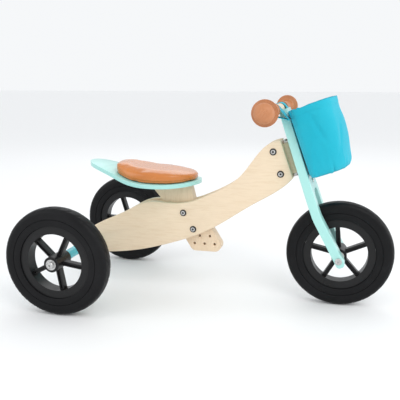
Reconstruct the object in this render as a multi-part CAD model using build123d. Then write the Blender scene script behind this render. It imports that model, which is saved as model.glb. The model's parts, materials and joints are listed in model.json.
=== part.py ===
from build123d import *
from math import asin, cos, radians, sin, tan
import os

# Children's tricycle: two S-shaped plywood frame panels, a slotted steering board with a wide
# dowel handlebar and bag, a bent plywood seat on a board post, and three wheels.
# Millimetres. +X forward, +Y the rider's left, +Z up, origin on the ground under the middle.

# Overall sizes
wheel_base = 590.0
track = 426.0
wheel_radius = 120.0
steering_rake = 20.0
leg_rake = 28.5

# Wheels
tyre_width = 38.0
tyre_inner_radius = 80.0
tyre_shoulder = 11.0
tyre_groove_radius = 95.5
tyre_groove_width = 1.6
tyre_groove_depth = 1.2
rim_width = 30.0
rim_wall = 17.0
spoke_count = 5
spoke_width = 10.0
spoke_depth = 15.0
spoke_groove_width = 4.6
spoke_groove_depth = 3.5
spoke_groove_end = 3.0
spoke_turn_rear_right = -8.0
spoke_turn_rear_left = 35.0
spoke_turn_front = 24.0
hub_radius = 17.0
hub_length = 58.0
bush_radius = 9.0
bush_flange_radius = 12.0
bush_flange = 1.5
bush_length = 18.0
axle_radius = 5.0
running_clearance = 0.05
wheel_side_gap = 0.6

# Rear axle
beam_radius = 11.0
washer_radius = 11.5
washer_thickness = 1.5
cap_head_radius = 7.5
cap_head_length = 6.0
cap_edge_break = 1.2
fork_cap_length = 3.5
hexagon_sides = 6
socket_radius = 2.6
socket_depth = 3.0
beam_screw_radius = 2.0
beam_screw_head_radius = 4.0
beam_screw_head_sunk = 2.0
beam_screw_head_proud = 0.5
beam_screw_to_rod = 1.0

# Frame panels
panel_thickness = 15.0
panel_gap = 30.0
rear_eye_radius = 30.0
rear_eye_top_angle = 30.0
rear_eye_bottom_angle = 2.0
panel_edge_break = 1.5
# X from the middle of the wheel base and height of the points that the panel's long edges pass
panel_top_points = ((-223, 188), (-154, 221.5), (-76, 222), (-3, 245), (68, 290), (112, 347))
panel_bottom_points = ((100, 228), (2, 165), (-111, 120))
panel_top_end = (1, 0.12)
panel_bottom_start = (-0.62, -0.78)
front_edge_to_axis = 4.0
head_top = 62.0
head_bottom = -26.0

# Cross bolts through the panels
bolt_radius = 3.0
bolt_clearance = 0.2
bolt_head_radius = 6.2
bolt_head_height = 2.6
bolt_edge_break = 0.8
bolt_socket_depth = 1.8
bolt_set_back = 27.0
upper_bolt_height = 43.0
lower_bolt_height = -9.0

# Head block, steering pin and brackets
block_clearance = 0.2
block_nose_radius = 11.0
block_back = 44.0
block_top = 52.0
block_bottom = -18.0
sleeve_radius = 6.0
pin_radius = 4.0
pin_head_radius = 7.0
pin_head_height = 4.5
bracket_thickness = 2.5
bracket_width = 24.0
bracket_tab_radius = 9.0
bracket_flange = 34.0
bracket_gap = 0.8
bracket_screw_pitch = 16.0
bracket_screw_margin = 6.0
bracket_screw_past = 1.0
screw_radius = 2.5
screw_head_radius = 5.0
screw_head_height = 2.2
screw_edge_break = 0.9

# Steering board
board_thickness = 19.0
board_to_axis = 22.5
board_edge_break = 1.2
foot_round = 7.6
lock_screw_radius = 3.5
lock_screw_gap = 0.5
shoulder_round = 60.0
bend_below_head = 120.0
leg_length = 105.0
leg_end = 16.0
bend_radius = 90.0
fork_half_width = 70.0
stem_half_width = 36.0
widest_below_head = 80.0
slot_half_width = 36.0
slot_top_below_head = 66.0
slot_corner = 18.0
bar_above_head = 128.0
bar_set_back = 15.0
board_below_bar = 5.0

# Handlebar and grips
bar_radius = 11.0
bar_half_length = 204.0
grip_inner_end = 74.0
grip_inner_radius = 15.5
grip_neck_radius = 12.0
grip_cap_radius = 26.5
grip_cap_start = 189.0
grip_cap_steps = 3
grip_step_length = 3.0
grip_step_height = 2.0
grip_lip = 1.5
grip_flare = 5.0
grip_end = 213.0
bar_screw_offset = 20.0
bar_screw_slant = 45.0
bar_screw_reach = 28.0
bar_screw_sunk = 1.5
bar_screw_head_radius = 4.0

# Seat post
post_thickness = 28.0
post_lean = 32.0
hole_pitch = 22.4
hole_column_pitch = 24.5
hole_rows = 6
curve_steps = 12
halving_steps = 40
post_hole_radius = bolt_radius + bolt_clearance
post_foot_x = -17.0
post_foot_height = 124.0
post_side_margin = 16.0
post_foot_margin = 18.0
post_foot_round = 15.0
post_neck_height = 232.0
post_front_flare = 12.0
post_rear_flare = 42.0
lower_bolt_row = 2
upper_bolt_row = 4

# Seat
shell_thickness = 9.0
seat_rear_x = -304.0
seat_front_x = -27.0
seat_half_width = 84.0
seat_low_height = 263.0
seat_tail_rise = 43.0
seat_nose_rise = 5.0
# Shares of the seat's length with the share of the tail's rise, or of the half width, reached there
seat_sweep = ((0.0, 1.0), (0.26, 0.5), (0.43, 0.13), (0.63, 0.0))
seat_tail_run = (1, -0.24)
seat_nose_run = (1, 0.12)
seat_shape = ((0.0, 0.0), (0.03, 0.34), (0.26, 0.74), (0.5, 0.97), (0.7, 0.98), (0.9, 0.68), (1.0, 0.0))
cushion_shape = ((0.0, 0.0), (0.06, 0.6), (0.26, 0.9), (0.5, 1.0), (0.72, 0.94), (0.91, 0.6), (1.0, 0.0))
cushion_rear_x = -232.0
cushion_front_x = -36.0
cushion_height = 27.0
cushion_edge_height = 15.0
cushion_margin = 10.0
cushion_start = 0.05
seat_screw_middle = -98.0
seat_screw_pitch = 30.0
seat_screw_length = 22.0
seat_screw_sunk = 1.6
seat_reach = 120.0
cushion_board_inset = 12.0
cushion_board_thickness = 4.0
soft_gap = 0.3

# Bag
bag_half_width = 74.0
bag_foot_half_width = 70.0
bag_depth = 102.0
bag_foot_depth = 90.0
bag_wall = 3.0
bag_corner = 20.0
bag_front_corner = 34.0
bag_front_bow = 9.0
bag_bow_run = (0.6, -1)
bag_bottom = -36.0
bag_rim = 116.0
bag_to_board = screw_head_height + 0.8
strap_width = 30.0
strap_thickness = 1.8
strap_offset = 58.0
strap_stitch_below_rim = 18.0
strap_end_radius = 0.4

rear_axle_x = -wheel_base / 2
front_axle_x = wheel_base / 2
leg_lean = leg_rake - steering_rake
hub_half = hub_length / 2
wheel_y = track / 2
panel_inner = panel_gap / 2
panel_outer = panel_inner + panel_thickness
panel_middle = panel_inner + panel_thickness / 2

# The steering axis passes behind the board, so its head point follows from the front axle.
axle_forward = board_to_axis + leg_length * sin(radians(leg_lean))
axle_down = bend_below_head + leg_length * cos(radians(leg_lean))
rake_sin = sin(radians(steering_rake))
rake_cos = cos(radians(steering_rake))
head_x = front_axle_x - axle_forward * rake_cos - axle_down * rake_sin
head_z = wheel_radius - axle_forward * rake_sin + axle_down * rake_cos
steering = Location((head_x, 0, head_z), (0, -steering_rake, 0))
bar_forward = board_to_axis - bar_set_back
bag_back = board_to_axis + board_thickness / 2 + bag_to_board

side_plane = Plane(origin=(0, 0, 0), x_dir=(1, 0, 0), z_dir=(0, -1, 0))
front_plane = Plane(origin=(0, 0, 0), x_dir=(0, 1, 0), z_dir=(1, 0, 0))


def steered(forward, up):
    """World X and Z of a point given in the steering frame."""
    return (head_x + forward * rake_cos - up * rake_sin, head_z + forward * rake_sin + up * rake_cos)


def rod_y(radius, y_from, y_to, x=0.0, z=0.0):
    """A cylinder along Y between two stations."""
    length = abs(y_to - y_from)
    middle = (y_from + y_to) / 2
    return Pos(x, middle, z) * Rot(90, 0, 0) * Cylinder(radius, length)


def rod_z(radius, z_from, z_to, x=0.0, y=0.0):
    """A cylinder along Z between two stations."""
    return Pos(x, y, (z_from + z_to) / 2) * Cylinder(radius, z_to - z_from)


def rod_x(radius, x_from, x_to, y=0.0, z=0.0):
    """A cylinder along X between two stations."""
    return Pos((x_from + x_to) / 2, y, z) * Rot(0, 90, 0) * Cylinder(radius, x_to - x_from)


def block(x_from, x_to, y_from, y_to, z_from, z_to):
    """A box between given faces."""
    size = (x_to - x_from, y_to - y_from, z_to - z_from)
    return Pos((x_from + x_to) / 2, (y_from + y_to) / 2, (z_from + z_to) / 2) * Box(*size)


def across(sketch, half_width):
    """Extrude an XZ sketch equally to both sides of the middle plane."""
    return extrude(sketch, half_width, both=True)


def mirrored(shape):
    return mirror(shape, Plane.XZ)


def save(name, shape):
    """Write one node."""
    export_step(shape, os.path.join("parts", name + ".step"))


# ---------------------------------------------------------------- wheels
def tyre_body():
    """Solid foam tyre: rounded tread, flat walls and a shallow ring groove in each wall."""
    half = tyre_width / 2
    outline = Pos((tyre_inner_radius + wheel_radius) / 2, 0) * Rectangle(
        wheel_radius - tyre_inner_radius, tyre_width)
    outline = fillet(outline.vertices().group_by(Axis.X)[-1], tyre_shoulder)
    groove = Rectangle(tyre_groove_width, 2 * tyre_groove_depth)
    for side in (-half, half):
        outline -= Pos(tyre_groove_radius, side) * groove
    return revolve(Plane.XY * outline, Axis.Y)


def spoke(angle):
    """One spoke with a channel in each face, from the hub to the rim."""
    reach = tyre_inner_radius - rim_wall / 2
    body = block(hub_radius - 2, reach, -spoke_depth / 2, spoke_depth / 2, -spoke_width / 2, spoke_width / 2)
    groove_start = hub_radius + spoke_groove_end
    groove_stop = tyre_inner_radius - rim_wall - spoke_groove_end
    groove_half = spoke_groove_width / 2
    channel = block(groove_start, groove_stop, 0, spoke_groove_depth, -groove_half, groove_half)
    face = spoke_depth / 2 - spoke_groove_depth
    body -= Pos(0, face, 0) * channel
    body -= Pos(0, -spoke_depth / 2, 0) * channel
    return Rot(0, angle, 0) * body


def rim_body():
    """Rim ring, five spokes and a hub barrel bored for the two bushes."""
    half = rim_width / 2
    ring = rod_y(tyre_inner_radius, -half, half) - rod_y(tyre_inner_radius - rim_wall, -half, half)
    rim = ring + rod_y(hub_radius, -hub_half, hub_half)
    for index in range(spoke_count):
        rim += spoke(index * 360 / spoke_count)
    rim -= rod_y(axle_radius + 2, -hub_half, hub_half)
    seat_end = hub_half - bush_flange
    for side in (-1, 1):
        rim -= rod_y(bush_radius, side * (seat_end - bush_length), side * hub_half)
        rim -= rod_y(bush_flange_radius, side * seat_end, side * hub_half)
    return rim


def bush_pair():
    """Flanged bushes that carry the wheel on its axle."""
    pair = []
    seat_end = hub_half - bush_flange
    for side in (-1, 1):
        body = rod_y(bush_radius, side * (seat_end - bush_length), side * seat_end)
        body += rod_y(bush_flange_radius, side * seat_end, side * hub_half)
        pair.append(body - rod_y(axle_radius + running_clearance, -wheel_y, wheel_y))
    return Compound(pair)


def save_wheel(name, x, y, turn):
    """The three pieces of one wheel at its place, its first spoke turned up from the front."""
    place = Pos(x, y, wheel_radius) * Rot(0, -turn, 0)
    save(name + "_tyre", place * tyre_body())
    save(name + "_rim", place * rim_body())
    save(name + "_hub_bushes", place * bush_pair())


# ---------------------------------------------------------------- rear axle
def washer_ring(y_from, y_to, x, z=wheel_radius):
    return rod_y(washer_radius, y_from, y_to, x, z) - rod_y(axle_radius, y_from, y_to, x, z)


def cap_head(y_from, y_to, x, z=wheel_radius):
    """A domed axle cap with a hexagon socket, facing outwards from y_from to y_to."""
    side = 1 if y_to > y_from else -1
    head = rod_y(cap_head_radius, y_from, y_to, x, z)
    head = chamfer(head.edges().sort_by(Axis.Y)[-1 if side > 0 else 0], cap_edge_break)
    hexagon = extrude(side_plane * RegularPolygon(socket_radius, hexagon_sides), socket_depth, both=True)
    return head - Pos(x, y_to, z) * hexagon


beam_end = wheel_y - hub_half - wheel_side_gap - washer_thickness
outer_washer = wheel_y + hub_half + wheel_side_gap
rear_axle_end = outer_washer + washer_thickness


def save_rear_axle():
    x, z = rear_axle_x, wheel_radius
    beam = rod_y(beam_radius, -beam_end, beam_end, x, z) - rod_y(axle_radius, -beam_end, beam_end, x, z)
    for y in (-panel_middle, panel_middle):
        beam -= beam_screw_shank(y)
    save("rear_axle_beam", beam)
    save("rear_axle_rod", rod_y(axle_radius, -rear_axle_end, rear_axle_end, x, z))
    inner = washer_ring(beam_end, beam_end + washer_thickness, x)
    outer = washer_ring(outer_washer, rear_axle_end, x)
    save("rear_inner_washers", Compound([inner, mirrored(inner)]))
    save("rear_outer_washers", Compound([outer, mirrored(outer)]))
    cap = cap_head(rear_axle_end, rear_axle_end + cap_head_length, x)
    save("rear_axle_caps", Compound([cap, mirrored(cap)]))


def beam_screws():
    """One wood screw from the rear edge of each panel into the beam."""
    screws = []
    back = rear_axle_x - rear_eye_radius
    start = back - beam_screw_head_proud
    stop = back + beam_screw_head_sunk
    for y in (-panel_middle, panel_middle):
        head = rod_x(beam_screw_head_radius, start, stop, y, wheel_radius)
        screws.append(beam_screw_shank(y) + head)
    return Compound(screws)


def beam_screw_shank(y):
    """Straight shank from the panel's rear edge almost to the axle rod."""
    tip = rear_axle_x - axle_radius - beam_screw_to_rod
    return rod_x(beam_screw_radius, rear_axle_x - rear_eye_radius, tip, y, wheel_radius)


# ---------------------------------------------------------------- frame panels
def panel_outline():
    """S-shaped side view: round rear eye, level seat stretch, rise to the steering head."""
    top_front = steered(-front_edge_to_axis, head_top)
    bottom_front = steered(-front_edge_to_axis, head_bottom)
    eye_x, eye_z, eye_r = rear_axle_x, wheel_radius, rear_eye_radius
    top_turn, bottom_turn = radians(rear_eye_top_angle), radians(rear_eye_bottom_angle)
    eye_top = (eye_x - eye_r * sin(top_turn), eye_z + eye_r * cos(top_turn))
    eye_bottom = (eye_x + eye_r * sin(bottom_turn), eye_z - eye_r * cos(bottom_turn))
    middle = front_axle_x + rear_axle_x
    top = Spline(
        eye_top, *[(middle + x, z) for x, z in panel_top_points], top_front,
        tangents=((cos(top_turn), sin(top_turn)), panel_top_end))
    front = Line(top_front, bottom_front)
    bottom = Spline(
        bottom_front, *[(middle + x, z) for x, z in panel_bottom_points], eye_bottom,
        tangents=(panel_bottom_start, (-cos(bottom_turn), -sin(bottom_turn))))
    eye = ThreePointArc(eye_bottom, (eye_x - eye_r, eye_z), eye_top)
    return side_plane * make_face(Curve() + [top, front, bottom, eye])


def cross_bolt_places():
    """X and Z of the four bolts that clamp the panels: two in the head, two in the seat post."""
    places = [steered(-bolt_set_back, upper_bolt_height), steered(-bolt_set_back, lower_bolt_height)]
    for row in (lower_bolt_row, upper_bolt_row):
        places.append(post_hole(row, 0))
    return places


def frame_panel():
    """The rider's left panel, with the beam hole and four bolt holes."""
    panel = Pos(0, panel_middle, 0) * across(panel_outline(), panel_thickness / 2)
    rims = panel.faces().sort_by(Axis.Y)
    panel = chamfer(rims[0].edges() + rims[-1].edges(), panel_edge_break)
    panel -= rod_y(beam_radius, 0, panel_outer + 1, rear_axle_x, wheel_radius)
    for x, z in cross_bolt_places():
        panel -= rod_y(bolt_radius + bolt_clearance, 0, panel_outer + 1, x, z)
    back = rear_axle_x - rear_eye_radius
    panel -= beam_screw_shank(panel_middle)
    panel -= rod_x(beam_screw_head_radius, back - beam_screw_head_sunk, back + beam_screw_head_sunk,
                   panel_middle, wheel_radius)
    return panel


def cross_bolt(x, z):
    """A socket-head bolt through both panels, its head on the rider's right."""
    head_y = -panel_outer - bolt_head_height
    bolt = rod_y(bolt_radius, -panel_outer, panel_outer, x, z)
    head = rod_y(bolt_head_radius, head_y, -panel_outer, x, z)
    head = chamfer(head.edges().sort_by(Axis.Y)[0], bolt_edge_break)
    hexagon = extrude(side_plane * RegularPolygon(socket_radius, hexagon_sides), bolt_socket_depth, both=True)
    return bolt + head - Pos(x, head_y, z) * hexagon


def cross_nut(x, z):
    """The matching sleeve nut on the rider's left, round and low."""
    nut = rod_y(bolt_head_radius, panel_outer, panel_outer + bolt_head_height, x, z)
    nut = chamfer(nut.edges().sort_by(Axis.Y)[-1], bolt_edge_break)
    hexagon = extrude(side_plane * RegularPolygon(socket_radius, hexagon_sides), bolt_socket_depth, both=True)
    return nut - Pos(x, panel_outer + bolt_head_height, z) * hexagon


# ---------------------------------------------------------------- steering head
def head_block():
    """Wooden block between the panels with a rounded nose that carries the steering sleeve."""
    half = panel_inner - block_clearance
    body = block(-block_back, -front_edge_to_axis, -half, half, block_bottom, block_top)
    body += block(-front_edge_to_axis, 0, -block_nose_radius, block_nose_radius, block_bottom, block_top)
    body += rod_z(block_nose_radius, block_bottom, block_top)
    body -= rod_z(sleeve_radius, block_bottom, block_top)
    for height in (upper_bolt_height, lower_bolt_height):
        body -= rod_y(bolt_radius + bolt_clearance, -half, half, -bolt_set_back, height)
    return body


def steering_sleeve():
    tube = rod_z(sleeve_radius, block_bottom, block_top)
    return tube - rod_z(pin_radius + running_clearance, block_bottom, block_top)


def bracket(direction):
    """Angle bracket above (+1) or below (-1) the head block, flange on the board's back face."""
    board_back = board_to_axis - board_thickness / 2
    half = bracket_width / 2
    near = (block_top if direction > 0 else block_bottom) + direction * bracket_gap
    far = near + direction * bracket_thickness
    low, high = min(near, far), max(near, far)
    tab = rod_z(bracket_tab_radius, low, high)
    tab += block(0, board_back, -bracket_tab_radius, bracket_tab_radius, low, high)
    end = near + direction * bracket_flange
    flange = block(board_back - bracket_thickness, board_back, -half, half, min(near, end), max(near, end))
    plate = tab + flange - rod_z(pin_radius, low - 1, high + 1)
    for height in bracket_screw_heights(direction):
        plate -= rod_x(screw_radius, 0, board_back + 1, 0, height)
    return plate


def bracket_screw_heights(direction):
    near = (block_top if direction > 0 else block_bottom) + direction * bracket_gap
    end = near + direction * (bracket_flange - bracket_screw_margin)
    return (end, end - direction * bracket_screw_pitch)


def steering_pin():
    """Long pin through both brackets and the sleeve, its low head above the upper bracket."""
    top = block_top + bracket_gap + bracket_thickness
    bottom = block_bottom - bracket_gap - bracket_thickness
    pin = rod_z(pin_radius, bottom - pin_head_height, top)
    head = rod_z(pin_head_radius, top, top + pin_head_height)
    head = chamfer(head.edges().sort_by(Axis.Z)[-1], screw_edge_break)
    return pin + head


def steering_nut():
    bottom = block_bottom - bracket_gap - bracket_thickness
    hexagon = extrude(RegularPolygon(pin_head_radius, hexagon_sides), pin_head_height)
    nut = Pos(0, 0, bottom - pin_head_height) * hexagon
    return nut - rod_z(pin_radius, bottom - pin_head_height, bottom)


def bracket_screws():
    """Pan-head machine screws from the board's front face into the brackets."""
    front = board_to_axis + board_thickness / 2
    back = board_to_axis - board_thickness / 2 - bracket_thickness - bracket_screw_past
    screws = []
    for direction in (-1, 1):
        for height in bracket_screw_heights(direction):
            shank = rod_x(screw_radius, back, front, 0, height)
            head = rod_x(screw_head_radius, front, front + screw_head_height, 0, height)
            head = chamfer(head.edges().sort_by(Axis.X)[-1], screw_edge_break)
            screws.append(shank + head)
    return Compound(screws)


# ---------------------------------------------------------------- steering board
def board_side_profile():
    """Constant-thickness bent board seen from the side, in the steering frame."""
    lean_sin, lean_cos = sin(radians(leg_lean)), cos(radians(leg_lean))
    half = board_thickness / 2
    top = bar_above_head - board_below_bar
    bend = -bend_below_head
    reach = leg_length + leg_end
    corner = half * tan(radians(leg_lean / 2))
    back_x, front_x = board_to_axis - half, board_to_axis + half
    foot_x, foot_z = board_to_axis + reach * lean_sin, bend - reach * lean_cos
    outline = Polyline(
        (back_x, top), (front_x, top), (front_x, bend + corner),
        (foot_x + half * lean_cos, foot_z + half * lean_sin),
        (foot_x - half * lean_cos, foot_z - half * lean_sin),
        (back_x, bend - corner), (back_x, top))
    face = side_plane * make_face(outline)
    bends = face.vertices().filter_by_position(Axis.Z, bend - half, bend + half)
    face = fillet(bends, bend_radius)
    feet = face.vertices().filter_by_position(Axis.Z, foot_z - half, foot_z + half)
    return fillet(feet, foot_round)


def board_front_profile():
    """Front view: straight legs, a taper up to the stem and a slot for the wheel."""
    foot = -axle_down - leg_end - board_thickness
    board_top = bar_above_head - board_below_bar
    outline = Polyline(
        (-fork_half_width, foot), (-fork_half_width, -widest_below_head), (-stem_half_width, board_top),
        (stem_half_width, board_top), (fork_half_width, -widest_below_head), (fork_half_width, foot),
        (-fork_half_width, foot))
    face = front_plane * make_face(outline)
    shoulders = face.vertices().filter_by_position(Axis.Z, -widest_below_head - 1, -widest_below_head + 1)
    face = fillet(shoulders, shoulder_round)
    slot_height = -slot_top_below_head - foot
    slot = Pos(0, foot + slot_height / 2) * Rectangle(2 * slot_half_width, slot_height)
    slot = fillet(slot.vertices().group_by(Axis.Y)[-1], slot_corner)
    return face - front_plane * slot


def fork_board():
    """Bent plywood board: the stem above, two legs below, a round seat for the bar on top."""
    bent = across(board_side_profile(), fork_half_width)
    window = extrude(board_front_profile(), board_to_axis + 2 * fork_half_width)
    board = bent & window
    board = chamfer(board.edges().filter_by(GeomType.LINE).filter_by(Axis.Z), board_edge_break)
    board -= rod_y(bar_radius, -fork_half_width, fork_half_width, bar_forward, bar_above_head)
    board -= rod_y(axle_radius, -fork_half_width - 1, fork_half_width + 1, axle_forward, -axle_down)
    for direction in (-1, 1):
        for height in bracket_screw_heights(direction):
            board -= rod_x(screw_radius, 0, 2 * board_to_axis, 0, height)
    for side in (-1, 1):
        board -= bar_screw(side)
        board -= lock_screw(side)
    return board


def on_bar_slant(shape, side):
    """Place a screw drawn along X so that it runs down and forward through the middle of the bar."""
    return Pos(bar_forward, side * bar_screw_offset, bar_above_head) * Rot(0, bar_screw_slant, 0) * shape


def bar_screw(side, behind=0.0):
    """Screw with its head sunk in the back of the bar; behind lengthens the head to clear its seat."""
    back = bar_screw_sunk - bar_radius
    head = rod_x(bar_screw_head_radius, back - behind, back + screw_head_height)
    return on_bar_slant(rod_x(screw_radius, back, bar_screw_reach) + head, side)


def bar_screws():
    """Two screws that clamp the bar into its seat in the board."""
    return Compound([bar_screw(-1), bar_screw(1)])


def lock_screw(side):
    """Set screw from the front of a leg towards the axle bolt."""
    y = side * (fork_half_width + slot_half_width) / 2
    tip = axle_radius + lock_screw_gap
    front = board_thickness / 2 - lock_screw_gap
    screw = rod_x(lock_screw_radius, tip, front, y)
    return Pos(axle_forward, 0, -axle_down) * Rot(0, leg_lean, 0) * screw


def front_axle_bolt():
    """Axle through both legs, domed socket head on the rider's right."""
    bolt = rod_y(axle_radius, -fork_half_width, fork_half_width, axle_forward, -axle_down)
    return bolt + cap_head(-fork_half_width, -fork_half_width - fork_cap_length, axle_forward, -axle_down)


def front_spacers():
    """Collars between each leg and the hub."""
    inner = hub_half + wheel_side_gap
    collar = rod_y(washer_radius, inner, slot_half_width, axle_forward, -axle_down)
    collar -= rod_y(axle_radius, inner, slot_half_width, axle_forward, -axle_down)
    return Compound([collar, mirrored(collar)])


# ---------------------------------------------------------------- handlebar
def handlebar():
    bar = rod_y(bar_radius, -bar_half_length, bar_half_length, bar_forward, bar_above_head)
    for side in (-1, 1):
        bar -= bar_screw(side, bar_radius)
    return bar


def grip():
    """Left grip: swelling sleeve, then a mushroom cap with three steps and a domed end."""
    points = [(0, grip_inner_end), (grip_inner_radius - grip_lip, grip_inner_end),
              (grip_inner_radius, grip_inner_end + grip_lip)]
    points += [(grip_neck_radius, grip_cap_start - grip_flare)]
    points += [(grip_neck_radius + grip_flare, grip_cap_start)]
    points += [(grip_cap_radius - 1, grip_cap_start), (grip_cap_radius, grip_cap_start + 1)]
    station = grip_cap_start + 1
    radius = grip_cap_radius
    for index in range(grip_cap_steps):
        station += grip_step_length
        points += [(radius, station), (radius - grip_step_height, station)]
        radius -= grip_step_height
    outline = Polyline(*points)
    rise = grip_end - station
    dome_radius = (radius**2 + rise**2) / (2 * rise)
    half_turn = asin(radius / dome_radius) / 2
    dome_middle = (dome_radius * sin(half_turn), grip_end - dome_radius * (1 - cos(half_turn)))
    dome = ThreePointArc((radius, station), dome_middle, (0, grip_end))
    axis_line = Line((0, grip_end), (0, grip_inner_end))
    section = make_face(Curve() + [outline, dome, axis_line])
    body = revolve(section, Axis.Y) - rod_y(bar_radius, 0, bar_half_length)
    return Pos(bar_forward, 0, bar_above_head) * body


# ---------------------------------------------------------------- seat post and seat
def post_hole(row, column):
    """X and Z of one hole in the slanted grid of the post."""
    along = row * hole_pitch
    x = post_foot_x + column * hole_column_pitch - along * sin(radians(post_lean))
    return (x, post_foot_height + along * cos(radians(post_lean)))


def post_outline():
    """Slanted board with a rounded foot that widens under the seat."""
    foot_x, foot_z = post_foot_x, post_foot_height
    lean = tan(radians(post_lean))
    side = hole_column_pitch + post_side_margin
    bottom = foot_z - post_foot_margin
    seat_level = seat_low_height + shell_thickness * 2
    rise = post_neck_height - bottom
    base = foot_x + (foot_z - bottom) * lean
    outline = Polyline(
        (base - side, bottom), (base + side, bottom), (base + side - rise * lean, post_neck_height),
        (base + side - rise * lean - post_front_flare, seat_level),
        (base - side - rise * lean - post_rear_flare, seat_level),
        (base - side - rise * lean, post_neck_height), (base - side, bottom))
    face = side_plane * make_face(outline)
    return fillet(face.vertices().group_by(Axis.Z)[0], post_foot_round)


def seat_curve():
    """Underside of the seat seen from the side: swept-up tail, low middle, rising nose."""
    low = seat_low_height
    length = seat_front_x - seat_rear_x
    points = [(seat_rear_x + along * length, low + up * seat_tail_rise) for along, up in seat_sweep]
    return Spline(*points, (seat_front_x, low + seat_nose_rise), tangents=(seat_tail_run, seat_nose_run))


def raised_curve(curve, distance, start=0.0, crown=0.0):
    """A curve above the given one by a distance, with an extra crown in the middle of its length."""
    points = []
    for index in range(curve_steps + 1):
        share = index / curve_steps
        place = start + (1 - start) * share
        at = curve @ place
        along = curve % place
        up = distance + crown * sin(radians(180 * share))
        points.append((at.X - along.Y * up, at.Y + along.X * up))
    return Spline(*points)


def band(curve, low, high, start=0.0, crown=0.0):
    """Side-view face between two heights above a curve."""
    bottom = raised_curve(curve, low, start)
    top = raised_curve(curve, high, start, crown)
    face = make_face(Curve() + [bottom, Line(bottom @ 1, top @ 1), top, Line(top @ 0, bottom @ 0)])
    return side_plane * face


def seat_plan(rear_x, front_x, half_width):
    """Plan of the seat: narrow tail, widest ahead of the middle, round nose."""
    return rounded_plan(seat_shape, rear_x, front_x, half_width)


def cushion_plan(inset=0.0):
    """Plan of the cushion, the same family of curve with a blunter rear."""
    half_width = seat_half_width - cushion_margin - inset
    return rounded_plan(cushion_shape, cushion_rear_x + inset, cushion_front_x - inset, half_width)


def rounded_plan(shape, rear_x, front_x, half_width):
    """Closed smooth outline through shares of length and half width, mirrored about the middle."""
    length = front_x - rear_x
    left = [(rear_x + along * length, wide * half_width) for along, wide in shape]
    right = [(x, -y) for x, y in reversed(left[1:-1])]
    return make_face(Spline(*left, *right, periodic=True))


def column(plan):
    """A plan drawn up through the height of the seat."""
    return Pos(0, 0, seat_low_height / 2) * extrude(plan, seat_low_height)


def seat_shell():
    """Bent plywood seat shell with bored screw holes."""
    side = across(band(seat_curve(), 0, shell_thickness), seat_reach)
    shell = side & column(seat_plan(seat_rear_x + 2, seat_front_x - 2, seat_half_width))
    for x in seat_screw_places():
        shell -= rod_z(screw_radius, seat_low_height / 2, 2 * seat_low_height, x)
    return shell


def seat_cushion():
    """Padded cushion as a plain block that follows the shell."""
    low = shell_thickness + soft_gap
    crown = cushion_height - cushion_edge_height
    side = across(band(seat_curve(), low, low + cushion_edge_height, cushion_start, crown), seat_reach)
    pocket = across(band(seat_curve(), low - 1, low + cushion_board_thickness, cushion_start), seat_reach)
    plan = column(cushion_plan())
    pocket &= column(cushion_plan(cushion_board_inset))
    return (side & plan) - pocket


def cushion_board():
    """Stiff board in the base of the cushion that takes the cushion screws."""
    low = shell_thickness + soft_gap
    high = low + cushion_board_thickness - soft_gap
    side = across(band(seat_curve(), low, high, cushion_start), seat_reach)
    return side & column(cushion_plan(cushion_board_inset + soft_gap))


def seat_screw_places():
    """X of the screws through the shell into the post, in line along the middle."""
    return [seat_screw_middle + step * seat_screw_pitch for step in (-1, 0, 1)]


# ---------------------------------------------------------------- bag
def bag_face(depth, half_width, inset):
    """Plan of the bag: straight back, straight sides, large front corners and a bowed front."""
    back = bag_back + inset
    half = half_width - inset
    front = back + depth - 2 * inset
    rear_turn = bag_corner - inset
    front_turn = bag_front_corner - inset
    corner_x = front - bag_front_bow
    edge = Line((back, 0), (back, half - rear_turn))
    rear = RadiusArc((back, half - rear_turn), (back + rear_turn, half), rear_turn)
    side = Line((back + rear_turn, half), (corner_x - front_turn, half))
    turn = RadiusArc((corner_x - front_turn, half), (corner_x, half - front_turn), front_turn)
    bow = Spline((corner_x, half - front_turn), (front, 0), tangents=(bag_bow_run, (0, -1)))
    outline = Curve() + [edge, rear, side, turn, bow]
    return make_face(outline + mirror(outline, Plane.XZ))


def bag_body(inset, floor_height):
    """Solid that widens from the foot to the rim."""
    foot = Pos(0, 0, floor_height) * bag_face(bag_foot_depth, bag_foot_half_width, inset)
    rim = Pos(0, 0, bag_rim) * bag_face(bag_depth, bag_half_width, inset)
    return loft([foot, rim])


def bag():
    """Fabric bag as a thin-walled bucket."""
    return bag_body(0, bag_bottom) - bag_body(bag_wall, bag_bottom + bag_wall)


def strap(side):
    """Loop of webbing round the bar, sewn to the back wall of the bag."""
    around_bar = Pos(bar_forward, bar_above_head) * Circle(bar_radius + soft_gap)
    stitch_forward = bag_back - strap_thickness / 2
    stitch_up = bag_rim - strap_stitch_below_rim
    stitched = Pos(stitch_forward, stitch_up) * Circle(strap_end_radius)
    hollow = make_hull(around_bar.edges() + stitched.edges())
    loop = across(side_plane * (offset(hollow, strap_thickness) - hollow), strap_width / 2)
    inside_bag = block(bag_back, bag_back + bag_depth, -strap_width, strap_width, bag_bottom, 2 * bag_rim)
    return Pos(0, side * strap_offset, 0) * (loop - inside_bag)


# ---------------------------------------------------------------- write every node
def save_frame():
    left = frame_panel()
    save("frame_panel_left", left)
    save("frame_panel_right", mirrored(left))
    save("beam_screws", beam_screws())
    places = cross_bolt_places()
    save("head_bolts", Compound([cross_bolt(x, z) for x, z in places[:2]]))
    save("head_nuts", Compound([cross_nut(x, z) for x, z in places[:2]]))
    save("post_bolts", Compound([cross_bolt(x, z) for x, z in places[2:]]))
    save("post_nuts", Compound([cross_nut(x, z) for x, z in places[2:]]))
    save("head_block", steering * head_block())
    save("steering_sleeve", steering * steering_sleeve())


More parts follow.
